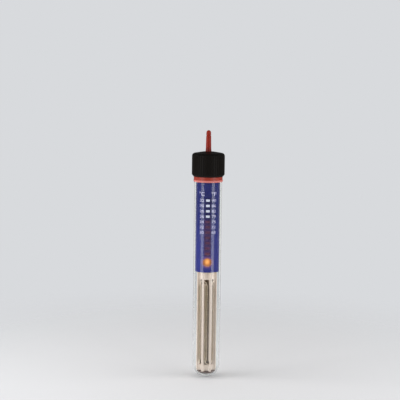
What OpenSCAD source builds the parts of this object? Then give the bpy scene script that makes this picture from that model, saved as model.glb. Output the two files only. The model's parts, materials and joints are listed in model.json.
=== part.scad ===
// Submersible aquarium heater: glass tube with a fluted ceramic element, a bimetal thermostat
// and a red adjusting stem in a black cap.
// The scale faces -Y and the tube stands along +Z. Heights in the modules count from the lowest
// point of the glass, and from_tip() puts them in the part's own frame, whose origin is the
// centre of the straight glass that a holder grips.

/* [Glass tube] */
// Outside diameter of the glass
glass_od = 22; // [21.8:0.1:22.4]
// Thickness of the glass
glass_wall = 1.2; // [1.1:0.05:1.25]
// Height of the glass mouth above the tip
mouth_h = 170; // [169:0.5:170.5]
// How much the mouth is drawn in under the seal, on the radius
neck_in = 0.4; // [0.35:0.05:0.45]

/* [Cap and seal] */
// Diameter of the cap over its ribs
cap_od = 26.1; // [25.8:0.1:27]
// Height of the cap's lower rim
cap_bottom_h = 163.4; // [162.8:0.1:164]
// Height of the cap's dome at its centre
cap_top_h = 183.3; // [183:0.1:184]
// Number of grip grooves round the cap
cap_grooves = 44; // [36:1:48]
// Depth of a grip groove
groove_depth = 0.35; // [0.2:0.05:0.4]
// Height of the red seal's lower edge
seal_bottom_h = 159.3; // [159:0.1:160]
// Diameter over the seal's lower bead
seal_bead_od = 23.5; // [23.3:0.1:23.8]
// Bore of the cord gland
cord_d = 5.4; // [5:0.1:5.6]

/* [Adjusting stem] */
// Height of the stem's tip
stem_top_h = 200; // [197:0.5:203]
// Diameter where the stem leaves the cap
stem_base_d = 4.7; // [4.5:0.1:4.8]
// Diameter just under the rounded tip
stem_tip_d = 3.6; // [3.4:0.1:3.9]

/* [Scale] */
// Outside diameter of the printed sleeve
sleeve_od = 19.2; // [19:0.1:19.3]
// Height of the sleeve's lower edge
sleeve_bottom_h = 87.4; // [87.2:0.1:87.5]
// Number of scale windows
window_rows = 11; // [9:1:11]
// Height of the top window's centre
top_window_h = 145.1; // [144.5:0.1:145.5]
// Step from one window to the next
window_pitch = 4.25; // [4.1:0.05:4.3]
// Width of a window
window_w = 3.5; // [3.2:0.1:3.8]
// Height of a window
window_tall = 1.85; // [1.6:0.05:2]
// Diameter of the round lamp window
lamp_window_d = 6.8; // [6:0.1:7]
// Height of the lamp window's centre
lamp_window_h = 95.6; // [95:0.1:96]

/* [Heating element] */
// Diameter of the ceramic
core_od = 16.3; // [16:0.1:16.6]
// Height where the upper insulator meets the wound core
coil_zone_top_h = 80.8; // [80:0.1:81.2]
// Height where the wound core meets the lower insulator
coil_zone_bottom_h = 10.7; // [10.5:0.1:11.5]
// Turn of the whole ceramic stack about its axis, in degrees
core_turn = 1; // [-4:1:4]
// Outside diameter of the coil
coil_od = 3; // [2.6:0.1:3]
// Diameter of the resistance wire
wire_d = 0.6; // [0.5:0.05:0.65]
// Curls in each flute
curls_per_flute = 11; // [8:1:12]

/* [Set-point drive] */
// Climb of the indicator for one turn of the stem
screw_lead = 8.5; // [8:0.1:8.5]
// Turns of the stem from the stored setting up to the highest one
turns_up = 2; // [1:0.5:2]
// Turns of the stem from the stored setting down to the lowest one
turns_down = 1; // [0.5:0.5:1]
// Inward travel of the lever's nose over the whole setting range
nose_travel = 1; // [0.9:0.05:1]

/* [Hidden] */
$fn = 96;
eps = 0.01;

// Glass, and the straight stretch that a holder grips
glass_r = glass_od / 2;
bore_r = glass_r - glass_wall;
neck_r = glass_r - neck_in;
grip_mid_h = (glass_r + seal_bottom_h) / 2;

// Seal, plug and cap
seal_r = 11.45;
seal_web = 1.4;
seal_top_h = mouth_h + seal_web;
lip_r = 8.75;
lip_bottom_h = mouth_h - 4;
bead_r = 0.8;
plug_bottom_h = 158;
flange_top_h = seal_top_h + 3;
cap_r = cap_od / 2;
cap_corner_r = 2.4;
cap_shoulder_h = cap_top_h - 3.7;
cap_rim_chamfer = 1.3;
cap_cavity_r = 11.5;
cap_upper_cavity_r = 10.9;
cap_cavity_top_h = cap_top_h - 3;
cap_groove_r = 0.6;
cord_y = 6.9;
gland_r = 3.6;
gland_flange_r = 3.95;
gland_bottom_h = 176.4;
gland_top_h = 182.2;

// Turning shaft
journal_r = 1.5;
journal_top_h = 174.9;
spindle_r = 1.2;
spindle_top_h = 190;
running_gap = 0.05;
o_ring_wire_r = 0.73;
o_ring_pocket_r = 3;
o_ring_pocket_h = 2;
washer_t = 0.4;
clip_t = 0.5;
knob_bottom_h = 175.6;
stem_groove_h = stem_top_h - 4.1;

// Lead screw
thread_r = 2;
thread_root_r = 1.55;
thread_bottom_h = 106;
thread_top_h = 148;
thread_sides = 12;
slices_per_turn = 10;
thrust_collar_h = 154.6;
screw_bottom_h = 102.4;

// Thermostat frame: a flat web behind the screw
web_front_y = 3;
web_back_y = 4.2;
web_w = 15.6;
web_bottom_h = 88.1;
web_top_h = 161;
slot_w = 1.6;
slot_bottom_h = 95;
slot_top_h = 149;
platform_h = 155.5;
rivet_h = 99.8;
rivet_x = 5;
rivet_r = 0.6;

// Scale strips and flag, from back to front
sleeve_r = sleeve_od / 2;
sleeve_wall = 0.5;
sleeve_top_h = 165.6;
backing_y = -6.8;
backing_t = 0.3;
red_strip_t = 0.2;
strip_w = 5.4;
strip_bottom_h = 101.5;
red_strip_top_h = 117.3;
flag_back_y = -7.6;
flag_t = 0.4;
flag_w = 7;
flag_bottom_h = 107.8;
flag_top_h = 129.6;

// Carriage and the wedge rib on its back
nut_bottom_h = 118;
nut_h = 8;
arm_t = 0.5;
backbone_back_y = 2.85;
rib_w = 1.2;
rib_bottom_h = 104.5;
rib_top_h = 131;
setting_travel = screw_lead * (turns_up + turns_down);
wedge_slope = nose_travel / setting_travel;
nose_h = 122;
nose_gap = 0.03;
nose_tip_y = 5.1;

// Lever, bimetal and contacts
pivot_h = 136;
pivot_y = 6.4;
pivot_pin_r = 0.5;
lever_tube_r = 0.85;
lever_y = 6.2;
lever_t = 0.6;
lever_bottom_h = 112;
spring_bow_y = 7.42;
spring_half_h = 3;
bimetal_y = 7.5;
bimetal_t = 0.3;
bimetal_w = 4.8;
bimetal_bottom_h = 101.5;
bimetal_pivot_h = 150;
bimetal_top_h = 151.5;
contact_h = 108;
contact_r = 1.3;
bridge_y = 5.5;
bridge_t = 0.5;
bridge_w = 6.2;
fixed_contact_face_y = 6.7;
contact_gap = 0.05;
magnet_bottom_h = 102;
magnet_face_y = 6.85;
magnet_gap = 0.25;

// Pilot lamp and small parts
bulb_y = -4.7;
bulb_r = 2.4;
bulb_bottom_h = 90;
bulb_h = 11.2;
bulb_wall = 0.4;
lead_r = 0.25;
insulated_r = 0.55;
terminal_top_h = 90.5;
capacitor_h = 96.2;

// Ceramic stack
core_r = core_od / 2;
flutes = 8;
flute_step = 360 / flutes;
flute_r = 2.35;
flute_at_r = 7.1;
end_flute_at_r = 7.9;
hub_r = flute_at_r - flute_r;
rod_r = 1;
rod_hole_r = 1.2;
lower_insulator_h = 6.2;
shield_h = 87.5;
shield_t = 0.6;
hop_notch = 3.2;
hop_notch_r = 7.1;

// Heating coil: the route starts at the top of the rear flute, and runs down and up the flutes
// in turn. coil_at_r is where each run stands, leaning to one side of its flute.
coil_at_r = 6.6;
coil_lean = -3.8;
first_flute = 4;
rings_per_curl = 8;
tube_sides = 6;
curl_r = (coil_od - wire_d) / 2;
run_top_h = coil_zone_top_h - 2.2;
run_bottom_h = coil_zone_bottom_h + 2.2;
hop_rise = 1.1;
hop_rings = 6;
ring_mark = [0.4, 0.8, 0.45];

// ---------------------------------------------------------------- helpers

// Puts heights that count from the glass tip into the part's frame
module from_tip() {
  translate([0, 0, -grip_mid_h]) children();
}

// A block between two corners
module block(low, high) {
  translate(low) cube(high - low);
}

// A bar along X between two heights, from an outline in Y and height
module bar_x(width, outline) {
  rotate([90, 0, 90])
    linear_extrude(height = width, center = true)
      polygon(outline);
}

// A round bar along X
module rod_x(length, r, y, h) {
  translate([0, y, h]) rotate([0, 90, 0]) cylinder(h = length, r = r, center = true);
}

// A round bar along Y from one depth to another
module rod_y(from_y, to_y, r, x, h) {
  translate([x, from_y, h]) rotate([-90, 0, 0]) cylinder(h = to_y - from_y, r = r);
}

// A ring or tube about Z
module ring(outer_r, inner_r, low_h, high_h) {
  translate([0, 0, low_h])
    difference() {
      cylinder(h = high_h - low_h, r = outer_r);
      translate([0, 0, -1]) cylinder(h = high_h - low_h + 2, r = inner_r);
    }
}

// Points of an arc, for an outline
function arc(centre, r, from, to, steps) = [
  for (i = [0 : steps])
    let (a = from + (to - from) * i / steps)
      centre + r * [cos(a), sin(a)]
];

function unit(v) = v / norm(v);

// A round wire swept along a path of points, each with a direction that its ring starts from
module swept_wire(path, r) {
  last = len(path) - 1;
  rings = [
    for (i = [0 : last])
      let (
        along = unit(path[min(i + 1, last)][0] - path[max(i - 1, 0)][0]),
        side = unit(path[i][1] - (path[i][1] * along) * along),
        up = cross(along, side)
      )
      for (j = [0 : tube_sides - 1])
        let (a = 360 * j / tube_sides)
          path[i][0] + r * (cos(a) * side + sin(a) * up)
  ];
  faces = concat(
    [for (j = [1 : tube_sides - 2]) [0, j, j + 1]],
    [for (i = [0 : last - 1], j = [0 : tube_sides - 1])
      let (
        a = i * tube_sides + j,
        b = i * tube_sides + (j + 1) % tube_sides
      )
      each [[a, a + tube_sides, b + tube_sides], [a, b + tube_sides, b]]],
    [for (j = [1 : tube_sides - 2])
      [last * tube_sides, last * tube_sides + j + 1, last * tube_sides + j]]
  );
  polyhedron(points = rings, faces = faces, convexity = 10);
}

// The points of a route with each corner rounded off over a distance of bend_len on both sides,
// or over less where a leg of the route is short
function rounded(points, bend_len) = [
  points[0],
  for (i = [1 : len(points) - 2])
    let (
      back = points[i - 1] - points[i],
      ahead = points[i + 1] - points[i],
      reach = min(bend_len, 0.45 * norm(back), 0.45 * norm(ahead)),
      from = points[i] + reach * unit(back),
      to = points[i] + reach * unit(ahead)
    )
    for (t = [0, 0.35, 0.65, 1])
      (1 - t) * (1 - t) * from + 2 * t * (1 - t) * points[i] + t * t * to,
  points[len(points) - 1]
];

// A hand-bent wire along a short route. No leg of a route runs along ring_mark.
module wire(points, r) {
  swept_wire([for (p = rounded(points, 2.5 * r)) [p, ring_mark]], r);
}

// ---------------------------------------------------------------- glass, seal and cap

// Half outline of a test tube of one radius with its round end at end_h
module tube_outline(r, end_h, top_h) {
  centre_h = end_h + r;
  intersection() {
    translate([0, centre_h]) circle(r = r);
    translate([0, end_h]) square([r, r]);
  }
  translate([0, centre_h]) square([r, top_h - centre_h]);
}

module glass_tube() {
  color([0.9, 0.93, 0.95, 0.35])
    from_tip()
      difference() {
        rotate_extrude() tube_outline(glass_r, 0, mouth_h);
        rotate_extrude() tube_outline(bore_r, glass_wall, mouth_h + 1);
        ring(glass_r + 1, neck_r, seal_bottom_h, mouth_h + 1);
      }
}

module seal_outline() {
  polygon([
    [neck_r, seal_bottom_h], [seal_r, seal_bottom_h], [seal_r, seal_top_h],
    [lip_r, seal_top_h], [lip_r, lip_bottom_h], [bore_r, lip_bottom_h],
    [bore_r, mouth_h], [neck_r, mouth_h]
  ]);
  intersection() {
    translate([seal_bead_od / 2 - bead_r, seal_bottom_h + bead_r]) circle(r = bead_r);
    translate([neck_r + eps, seal_bottom_h]) square(2);
  }
}

module mouth_seal() {
  color("firebrick") from_tip() rotate_extrude() seal_outline();
}

// Half outline of the cap: lower chamfer, straight side, rounded shoulder and shallow dome
function cap_outline() = concat(
  [[0, cap_bottom_h], [cap_r - cap_rim_chamfer, cap_bottom_h], [cap_r, cap_bottom_h + 1.6]],
  arc([cap_r - cap_corner_r, cap_shoulder_h], cap_corner_r, 0, 75, 5),
  [[7.6, cap_top_h - 0.75], [4.4, cap_top_h - 0.25], [0, cap_top_h]]
);

module cap_shell() {
  color([0.08, 0.07, 0.06])
    from_tip()
      difference() {
        rotate_extrude() polygon(cap_outline());
        translate([0, 0, cap_bottom_h - 1])
          cylinder(h = flange_top_h - cap_bottom_h + 1, r = cap_cavity_r);
        cylinder(h = cap_cavity_top_h, r = cap_upper_cavity_r);
        cylinder(h = cap_top_h + 1, r = stem_base_d / 2 + 2 * running_gap);
        translate([0, cord_y, 0]) cylinder(h = cap_top_h + 1, r = gland_r);
        for (i = [0 : cap_grooves - 1])
          rotate(360 * i / cap_grooves)
            translate([cap_r - groove_depth + cap_groove_r, 0, cap_bottom_h - 1])
              cylinder(h = cap_top_h - cap_bottom_h + 2, r = cap_groove_r, $fn = 24);
      }
}

module cord_gland() {
  color([0.12, 0.12, 0.12])
    from_tip()
      translate([0, cord_y, 0])
        union() {
          ring(gland_r, cord_d / 2, gland_bottom_h, gland_top_h);
          ring(gland_flange_r, cord_d / 2, gland_bottom_h, cap_cavity_top_h);
        }
}

module head_plug() {
  color("ivory")
    from_tip()
      difference() {
        union() {
          translate([0, 0, plug_bottom_h])
            cylinder(h = seal_top_h - plug_bottom_h, r = lip_r);
          translate([0, 0, seal_top_h])
            cylinder(h = flange_top_h - seal_top_h, r = seal_r - 0.05);
        }
        cylinder(h = flange_top_h + 1, r = journal_r + running_gap);
        translate([0, 0, flange_top_h - o_ring_pocket_h])
          cylinder(h = o_ring_pocket_h + 1, r = o_ring_pocket_r);
        for (side = [-1, 1])
          translate([side * 1.5, cord_y, 0]) cylinder(h = flange_top_h + 1, r = 0.8);
        block([-5, web_front_y, plug_bottom_h - 1], [5, web_back_y, web_top_h]);
      }
}

module shaft_o_ring() {
  color([0.15, 0.15, 0.15])
    from_tip()
      translate([0, 0, flange_top_h - o_ring_pocket_h / 2])
        rotate_extrude()
          translate([journal_r + o_ring_wire_r + 0.02, 0]) circle(r = o_ring_wire_r);
}

module o_ring_washer() {
  color("silver")
    from_tip() ring(o_ring_pocket_r + 0.4, journal_r + 0.1, flange_top_h, flange_top_h + washer_t);
}

module plug_terminals() {
  color("goldenrod")
    from_tip()
      for (side = [-1, 1])
        translate([side * 1.5, cord_y, plug_bottom_h - 1.5])
          cylinder(h = flange_top_h - plug_bottom_h + 3, r = 0.8);
}

// ---------------------------------------------------------------- scale

module scale_sleeve() {
  color("royalblue")
    from_tip()
      difference() {
        ring(sleeve_r, sleeve_r - sleeve_wall, sleeve_bottom_h, sleeve_top_h);
        for (row = [0 : window_rows - 1])
          translate([0, -sleeve_r, top_window_h - row * window_pitch])
            cube([window_w, 3, window_tall], center = true);
        rod_y(-sleeve_r - 1, -sleeve_r + 2, lamp_window_d / 2, 0, lamp_window_h);
      }
}

module scale_backing() {
  color("white")
    from_tip()
      block([-strip_w / 2, backing_y - backing_t, strip_bottom_h],
            [strip_w / 2, backing_y, plug_bottom_h]);
}

module lower_red_strip() {
  front = backing_y - backing_t;
  color("indianred")
    from_tip()
      block([-strip_w / 2, front - red_strip_t, strip_bottom_h],
            [strip_w / 2, front, red_strip_top_h]);
}

// ---------------------------------------------------------------- thermostat frame

module chassis_frame() {
  color("tan")
    from_tip()
      difference() {
        union() {
          block([-web_w / 2, web_front_y, web_bottom_h], [web_w / 2, web_back_y, plug_bottom_h]);
          block([-5, web_front_y, plug_bottom_h - 1], [5, web_back_y, web_top_h]);
          block([-4.5, backing_y, platform_h], [4.5, web_front_y, plug_bottom_h]);
          block([-2.6, -2.2, web_bottom_h], [2.6, web_front_y, web_bottom_h + 1.2]);
        }
        block([-slot_w / 2, web_front_y - 1, slot_bottom_h],
              [slot_w / 2, web_back_y + 1, slot_top_h]);
        cylinder(h = plug_bottom_h + 1, r = journal_r + 0.2);
        block([3.9, web_front_y - 1, web_bottom_h - 1], [web_w, web_back_y + 1, 94.2]);
        block([5.1, web_front_y - 1, 151.4], [web_w, web_back_y + 1, web_top_h]);
        for (side = [-1, 1])
          rod_y(web_front_y - 1, web_back_y + 1, rivet_r, side * rivet_x, rivet_h);
      }
}

module screw_bracket() {
  plate_h = 103;
  plate_t = 1.2;
  color("silver")
    from_tip()
      difference() {
        union() {
          translate([0, 0, plate_h])
            linear_extrude(height = plate_t)
              polygon([[-6.4, web_front_y], [-6.4, 0.6], [-2.4, -2.4], [2.4, -2.4],
                       [6.4, 0.6], [6.4, web_front_y]]);
          for (side = [-1, 1])
            block([side * 4.9 - 1.5, web_front_y - 0.8, 98.4],
                  [side * 4.9 + 1.5, web_front_y, plate_h + eps]);
        }
        translate([0, 0, plate_h - 1])
          cylinder(h = plate_t + 2, r = spindle_r + running_gap);
        block([-2.8, 1.9, plate_h - 1], [2.8, web_front_y + 1, plate_h + plate_t + 1]);
        for (side = [-1, 1])
          rod_y(1, web_front_y + 1, rivet_r, side * rivet_x, rivet_h);
      }
}

module bracket_rivets() {
  color("gainsboro")
    from_tip()
      for (side = [-1, 1]) {
        rod_y(web_front_y - 1.3, web_back_y + 0.5, rivet_r, side * rivet_x, rivet_h);
        rod_y(web_front_y - 1.3, web_front_y - 0.8, 1.1, side * rivet_x, rivet_h);
        rod_y(web_back_y, web_back_y + 0.5, 1.1, side * rivet_x, rivet_h);
      }
}

// Bridge over the frame's slot, with its feet beside the slot
module contact_bracket() {
  low = bimetal_bottom_h;
  high = contact_h + 2;
  color("peru")
    from_tip()
      difference() {
        union() {
          block([-bridge_w / 2, web_back_y, low], [bridge_w / 2, bridge_y + bridge_t, high]);
          block([-4.6, web_back_y, low], [4.6, web_back_y + bridge_t, high]);
        }
        block([-bridge_w / 2 + bridge_t, web_back_y - 1, low - 1],
              [bridge_w / 2 - bridge_t, bridge_y, high + 1]);
      }
}

module fixed_contact() {
  color("silver")
    from_tip() rod_y(bridge_y + bridge_t, fixed_contact_face_y, contact_r, 0, contact_h);
}

module snap_magnet() {
  color([0.25, 0.25, 0.27])
    from_tip()
      block([-1.8, bridge_y + bridge_t, magnet_bottom_h],
            [1.8, magnet_face_y, magnet_bottom_h + 3]);
}

module bimetal_bracket() {
  color("peru")
    from_tip()
      difference() {
        block([-2.5, web_back_y, slot_top_h + 0.2],
              [2.5, bimetal_y - contact_gap, slot_top_h + 4]);
        rod_y(web_back_y - 1, bimetal_y + 1, 0.7, 0, bimetal_pivot_h + 0.4);
      }
}

module bimetal_screw() {
  head_y = bimetal_y + bimetal_t + 0.15;
  color("gainsboro")
    from_tip()
      difference() {
        union() {
          rod_y(web_back_y + 0.2, head_y, 0.7, 0, bimetal_pivot_h + 0.4);
          rod_y(head_y, head_y + 0.5, 1.4, 0, bimetal_pivot_h + 0.4);
        }
        block([-2, head_y + 0.25, bimetal_pivot_h + 0.2], [2, head_y + 1, bimetal_pivot_h + 0.6]);
      }
}

module lever_bracket() {
  ear_x = 2.1;
  color("silver")
    from_tip()
      difference() {
        for (side = [-1, 1]) {
          block([side * (ear_x + 0.25) - 0.25, web_back_y, pivot_h - 1.8],
                [side * (ear_x + 0.25) + 0.25, pivot_y + 0.7, pivot_h + 1.8]);
          block([side * (ear_x + 1.1) - 1.1, web_back_y, pivot_h - 1.8],
                [side * (ear_x + 1.1) + 1.1, web_back_y + 0.5, pivot_h + 1.8]);
        }
        rod_x(8, pivot_pin_r, pivot_y, pivot_h);
      }
}

module lever_pin() {
  color("gainsboro") from_tip() rod_x(6, pivot_pin_r, pivot_y, pivot_h);
}

// ---------------------------------------------------------------- pilot lamp and circuit

module neon_lamp() {
  dome_h = bulb_bottom_h + bulb_h - bulb_r;
  color([1, 0.62, 0.25, 0.6])
    from_tip()
      translate([0, bulb_y, 0])
        difference() {
          union() {
            translate([0, 0, bulb_bottom_h]) cylinder(h = dome_h - bulb_bottom_h, r = bulb_r);
            translate([0, 0, dome_h]) sphere(r = bulb_r);
          }
          translate([0, 0, bulb_bottom_h + 1.2])
            cylinder(h = dome_h - bulb_bottom_h - 1.2, r = bulb_r - bulb_wall);
          translate([0, 0, dome_h]) sphere(r = bulb_r - bulb_wall);
          for (side = [-1, 1])
            translate([side * 0.9, 0, bulb_bottom_h - 1]) cylinder(h = 3, r = lead_r);
        }
}

module lamp_electrodes() {
  color("gray")
    from_tip()
      for (side = [-1, 1]) {
        translate([side * 0.9, bulb_y, bulb_bottom_h + 1.2]) cylinder(h = 6, r = 0.45);
        wire([
          [side * 0.9, bulb_y, bulb_bottom_h + 1.3], [side * 0.9, bulb_y, 89.2],
          [side * 3.4, bulb_y + 1.2, 89.2], [side * 4.2, 0.6, 89.2], [side * 4.2, 0.6, 91.6]
        ], lead_r);
      }
}

module lamp_resistor() {
  color("burlywood")
    from_tip()
      translate([4.2, 0.6, 0]) {
        translate([0, 0, 91.6]) cylinder(h = 5.4, r = 1);
        translate([0, 0, 97]) cylinder(h = 3, r = lead_r);
      }
}

module suppressor_capacitor() {
  color("sienna")
    from_tip()
      union() {
        rod_y(web_back_y + 0.5, web_back_y + 2.7, 2.6, 0, capacitor_h);
        for (side = [-1, 1])
          translate([side * 1.6, web_back_y + 1.6, capacitor_h + 1.4])
            cylinder(h = bimetal_bottom_h - capacitor_h - 1.4, r = lead_r);
      }
}

module contact_wire() {
  start = run_start(0);
  color("navajowhite")
    from_tip()
      wire([
        [start.x, start.y, terminal_top_h], [start.x, start.y, terminal_top_h + 1.8],
        [-4, 6, 93.2], [-4, 5.3, 100], [-4, 5.3, bimetal_bottom_h]
      ], insulated_r);
}

module neutral_wire() {
  start = run_start(flutes);
  color("lightskyblue")
    from_tip()
      wire([
        [start.x, start.y, terminal_top_h], [start.x, start.y, terminal_top_h + 1.2],
        [7.3, 1.6, 93.4], [7.3, 1.6, 151.5], [5.6, 5.4, 154], [1.5, cord_y, 154.6],
        [1.5, cord_y, plug_bottom_h - 1.5]
      ], insulated_r);
}

module live_wire() {
  color("rosybrown")
    from_tip()
      wire([
        [-1.5, cord_y, plug_bottom_h - 1.5], [-1.5, cord_y, 155.4], [-1.5, 5.6, 154.4],
        [-1.5, 5.6, slot_top_h + 4]
      ], insulated_r);
}

// ---------------------------------------------------------------- heating element

// Cross-section of the ceramic: a disc with round flutes
module fluted(at_r) {
  difference() {
    circle(r = core_r);
    for (i = [0 : flutes - 1])
      rotate(core_turn + flute_step * i - 90) translate([at_r, 0]) circle(r = flute_r);
    circle(r = rod_hole_r);
  }
}

module upper_insulator() {
  color("linen")
    from_tip()
      difference() {
        translate([0, 0, coil_zone_top_h])
          linear_extrude(height = shield_h - coil_zone_top_h) fluted(end_flute_at_r);
        for (k = [0, flutes])
          translate(run_start(k)) cylinder(h = 20, r = 0.5, center = true);
      }
}

module lower_insulator() {
  color("linen")
    from_tip()
      translate([0, 0, lower_insulator_h])
        linear_extrude(height = coil_zone_bottom_h - lower_insulator_h) fluted(end_flute_at_r);
}

// Behind their outer skin, the core's ribs are notched at one end wherever the coil hops to the
// next flute
module ceramic_core() {
  color("antiquewhite")
    from_tip()
      difference() {
        translate([0, 0, coil_zone_bottom_h])
          linear_extrude(height = coil_zone_top_h - coil_zone_bottom_h) fluted(flute_at_r);
        for (hop = [0 : flutes - 2]) {
          low = hop % 2 == 0 ? coil_zone_bottom_h - 1 : coil_zone_top_h - hop_notch;
          rotate(core_turn + flute_step * (first_flute + hop + 0.5) - 90)
            translate([hub_r, -2.2, low]) cube([hop_notch_r - hub_r, 4.4, hop_notch + 1]);
        }
      }
}

// Direction out of the axis at an angle counted from the front, and the direction beside it
function outward(a) = [sin(a), -cos(a), 0];
function beside(a) = [cos(a), sin(a), 0];
function run_angle(k) = core_turn + coil_lean + flute_step * (first_flute + k);

// Where the first run starts (k = 0) and the last one ends (k = flutes), at the upper insulator
function run_start(k) =
  coil_at_r * outward(run_angle(k == 0 ? 0 : flutes - 1)) + [0, 0, coil_zone_top_h];

function run_height(k, t) =
  k % 2 == 0 ? run_top_h - t * (run_top_h - run_bottom_h)
             : run_bottom_h + t * (run_top_h - run_bottom_h);

// One point of the wire's centre line and the curl direction there, as a pair
function curl_point(k, t) =
  let (
    a = run_angle(k),
    phase = (k % 2 == 0 ? 1 : -1) * 360 * curls_per_flute * t,
    swell = min(1, 2 * curls_per_flute * min(t, 1 - t)),
    out = cos(phase) * outward(a) + sin(phase) * beside(a)
  )
  [coil_at_r * outward(a) + swell * curl_r * out + [0, 0, run_height(k, t)], out];

function hop_point(k, s) =
  let (
    a = run_angle(k) + s * flute_step,
    bulge = (k % 2 == 0 ? -1 : 1) * hop_rise * sin(180 * s)
  )
  [coil_at_r * outward(a) + [0, 0, run_height(k, 1) + bulge], outward(a)];

rings_per_run = curls_per_flute * rings_per_curl;
function end_point(k, h) = [[run_start(k).x, run_start(k).y, h], unit([run_start(k).x, run_start(k).y, 0])];
coil_path = concat(
  [end_point(0, coil_zone_top_h), end_point(0, coil_zone_top_h - 1.5 * wire_d)],
  [for (k = [0 : flutes - 1]) each concat(
    [for (i = [0 : rings_per_run]) curl_point(k, i / rings_per_run)],
    k < flutes - 1 ? [for (i = [1 : hop_rings]) hop_point(k, i / (hop_rings + 1))] : []
  )],
  [end_point(flutes, coil_zone_top_h - 1.5 * wire_d), end_point(flutes, coil_zone_top_h)]
);

module heating_coil() {
  color("dimgray") from_tip() swept_wire(coil_path, wire_d / 2);
}

// Least gap of the coil to itself, between points more than half a curl apart
function least_gap(path, skip) =
  min([
    for (i = [0 : len(path) - 1 - skip])
      min([for (j = [i + skip : len(path) - 1]) norm(path[i][0] - path[j][0])])
  ]) - wire_d;

module coil_terminals() {
  color("silver")
    from_tip()
      for (k = [0, flutes])
        translate(run_start(k)) cylinder(h = terminal_top_h - coil_zone_top_h, r = 0.5);
}

module tie_rod() {
  color("silver") from_tip() translate([0, 0, 3.6]) cylinder(h = 88, r = rod_r);
}

module tie_rod_nuts() {
  color("gainsboro")
    from_tip()
      for (h = [lower_insulator_h - 1.6, web_bottom_h + 1.2])
        difference() {
          translate([0, 0, h]) cylinder(h = 1.6, r = 2.2, $fn = 6);
          translate([0, 0, h - 1]) cylinder(h = 4, r = rod_r);
        }
}

module buffer_ring() {
  color([0.22, 0.17, 0.15])
    from_tip()
      rotate_extrude()
        polygon([[4.6, 4.6], [7.1, 4.6], [7.9, 5.6], [7.9, 6.2], [4.6, 6.2]]);
}

module heat_shield() {
  color("khaki")
    from_tip()
      difference() {
        translate([0, 0, shield_h]) cylinder(h = shield_t, r = sleeve_r - sleeve_wall);
        translate([0, 0, shield_h - 1]) cylinder(h = 3, r = rod_r);
        for (k = [0, flutes])
          translate(run_start(k)) cylinder(h = 20, r = 0.5, center = true);
      }
}

// ---------------------------------------------------------------- adjusting stem and screw

module adjuster_knob() {
  tip_r = stem_tip_d / 2;
  mid_r = tip_r + 0.15;
  color("brown")
    from_tip()
      difference() {
        rotate_extrude()
          polygon(concat(
            [[0, knob_bottom_h], [stem_base_d / 2, knob_bottom_h],
             [stem_base_d / 2, cap_top_h - 0.1], [mid_r + 0.2, cap_top_h + 2.4],
             [mid_r, stem_groove_h - 0.45], [mid_r - 0.3, stem_groove_h - 0.15],
             [mid_r - 0.3, stem_groove_h + 0.15], [mid_r, stem_groove_h + 0.45]],
            arc([0, stem_top_h - tip_r], tip_r, 0, 90, 8)
          ));
        cylinder(h = spindle_top_h, r = spindle_r);
      }
}

// Turned shaft with a steep two-start thread in its middle
module lead_screw() {
  thread_len = thread_top_h - thread_bottom_h;
  color("darkgoldenrod")
    from_tip()
      union() {
        translate([0, 0, thread_bottom_h])
          linear_extrude(height = thread_len, twist = -360 * thread_len / screw_lead,
                         slices = round(slices_per_turn * thread_len / screw_lead),
                         $fn = thread_sides)
            polygon([
              for (i = [0 : thread_sides - 1])
                let (
                  a = 360 * i / thread_sides,
                  r = (thread_r + thread_root_r + (thread_r - thread_root_r) * cos(2 * a)) / 2
                )
                r * [cos(a), sin(a)]
            ]);
        translate([0, 0, screw_bottom_h])
          cylinder(h = thread_bottom_h - screw_bottom_h + 1, r = spindle_r);
        translate([0, 0, thread_top_h - 1])
          cylinder(h = journal_top_h - thread_top_h + 1, r = journal_r);
        translate([0, 0, thrust_collar_h]) cylinder(h = 0.8, r = 2.4);
        translate([0, 0, journal_top_h - 1])
          cylinder(h = spindle_top_h - journal_top_h + 1, r = spindle_r);
      }
}

module shaft_clip() {
  low = journal_top_h;
  color("gainsboro")
    from_tip()
      difference() {
        ring(2.8, spindle_r, low, low + clip_t);
        block([-0.9, 0, low - 1], [0.9, 4, low + clip_t + 1]);
      }
}

// ---------------------------------------------------------------- indicator

function wedge_y(h) = nose_tip_y - nose_gap + wedge_slope * (h - nose_h);

module indicator_carriage() {
  arm_x = flag_w / 2 - arm_t / 2;
  color("whitesmoke")
    from_tip()
      difference() {
        union() {
          block([-flag_w / 2, -3, nut_bottom_h], [flag_w / 2, backbone_back_y, nut_bottom_h + nut_h]);
          for (side = [-1, 1])
            block([side * arm_x - arm_t / 2, flag_back_y, nut_bottom_h],
                  [side * arm_x + arm_t / 2, -2.9, nut_bottom_h + nut_h]);
          block([-2.5, 2.1, rib_bottom_h], [2.5, backbone_back_y, rib_top_h]);
          bar_x(rib_w, [
            [2.5, rib_bottom_h], [wedge_y(rib_bottom_h), rib_bottom_h],
            [wedge_y(rib_top_h), rib_top_h], [2.5, rib_top_h]
          ]);
        }
        cylinder(h = plug_bottom_h, r = thread_r + 0.06);
      }
}

module indicator_flag() {
  color("red")
    from_tip()
      block([-flag_w / 2, flag_back_y - flag_t, flag_bottom_h],
            [flag_w / 2, flag_back_y, flag_top_h]);
}

// ---------------------------------------------------------------- lever and bimetal

module bias_lever() {
  color("lightsteelblue")
    from_tip()
      difference() {
        union() {
          block([-1.5, lever_y - lever_t / 2, lever_bottom_h], [1.5, lever_y + lever_t / 2, pivot_h]);
          rod_x(3.8, lever_tube_r, pivot_y, pivot_h);
          rod_x(1, 0.5, nose_tip_y + 0.5, nose_h);
        }
        rod_x(8, pivot_pin_r + running_gap, pivot_y, pivot_h);
      }
}

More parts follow.
